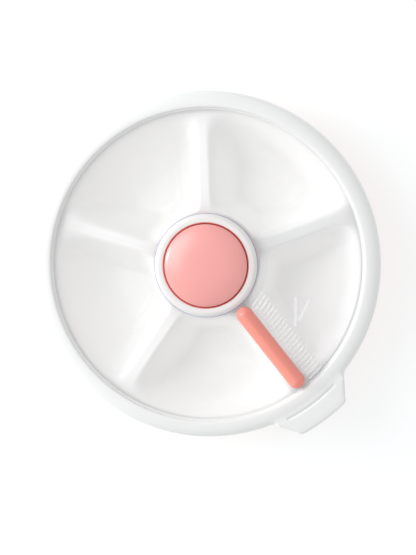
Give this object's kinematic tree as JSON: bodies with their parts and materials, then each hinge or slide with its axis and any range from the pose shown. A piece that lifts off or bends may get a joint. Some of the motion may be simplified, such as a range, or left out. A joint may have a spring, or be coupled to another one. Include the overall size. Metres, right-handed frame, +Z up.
{
  "type": "rotary snack box",
  "caption": "Round snack box with a turning pocketed tray, a clear window lid with a sliding door and bar handle, and a push button at the centre.",
  "frame": {"origin": "on the tray's spin axis, on the surface that the box rests on", "axes": "+Z up along the spin axis, from the bowl's underside to the button; the pull tab points to -52 degrees from +X, seen from above"},
  "size_m": [0.19, 0.19, 0.055],
  "materials": {
    "coral_plastic": "coral polypropylene with a soft sheen",
    "button_plastic": "pale coral, satin",
    "deep_coral_plastic": "coral, satin",
    "white_plastic": "white, satin",
    "tray_plastic": "white, smooth",
    "mechanism_plastic": "natural acetal, matt",
    "clear_plastic": "clear, polished",
    "silicone": "translucent silicone",
    "steel": "stainless, bright"
  },
  "bodies": {
    "base": {"base_shell": "coral_plastic", "stand_ring": "silicone", "spindle_post": "white_plastic", "spindle_screw": "steel", "thrust_washer": "mechanism_plastic", "detent_finger": "white_plastic"},
    "tray": {"snack_tray": "tray_plastic", "ratchet_ring": "mechanism_plastic", "detent_ring": "mechanism_plastic"},
    "lid": {"lid_ring": "white_plastic", "lid_window": "clear_plastic", "lid_seal": "silicone", "collar_bezel": "white_plastic", "button_guide": "deep_coral_plastic", "return_spring": "steel"},
    "door": {"door_panel": "clear_plastic", "door_handle": "deep_coral_plastic"},
    "button": {"button_cap": "button_plastic", "button_plunger": "mechanism_plastic"},
    "drive": {"drive_cam": "mechanism_plastic", "drive_clip": "steel", "pawl_ring": "mechanism_plastic"}
  },
  "joints": [
    {"name": "tray_spin", "type": "hinge", "parent": "base", "child": "tray", "pos_m": [0, 0, 0.008], "axis": [0, 0, 1], "continuous": true},
    {"name": "lid_lift", "type": "slide", "parent": "base", "child": "lid", "axis": [0, 0, 1], "range_m": [0, 0.06]},
    {"name": "door_slide", "type": "hinge", "parent": "lid", "child": "door", "pos_m": [0, 0, 0.0463], "axis": [0, 0, 1], "range_deg": [-72, 0]},
    {"name": "button_press", "type": "slide", "parent": "lid", "child": "button", "axis": [0, 0, -1], "range_m": [0, 0.0055], "stiffness_N_per_m": 600, "springref_m": -0.003, "deforming": ["return_spring"]},
    {"name": "cam_turn", "type": "hinge", "parent": "lid", "child": "drive", "pos_m": [0, 0, 0.0245], "axis": [0, 0, 1], "range_deg": [0, 72]}
  ],
  "couplings": [
    {"joint": "cam_turn", "follows": "button_press", "rad_per_m": 228.47}
  ]
}
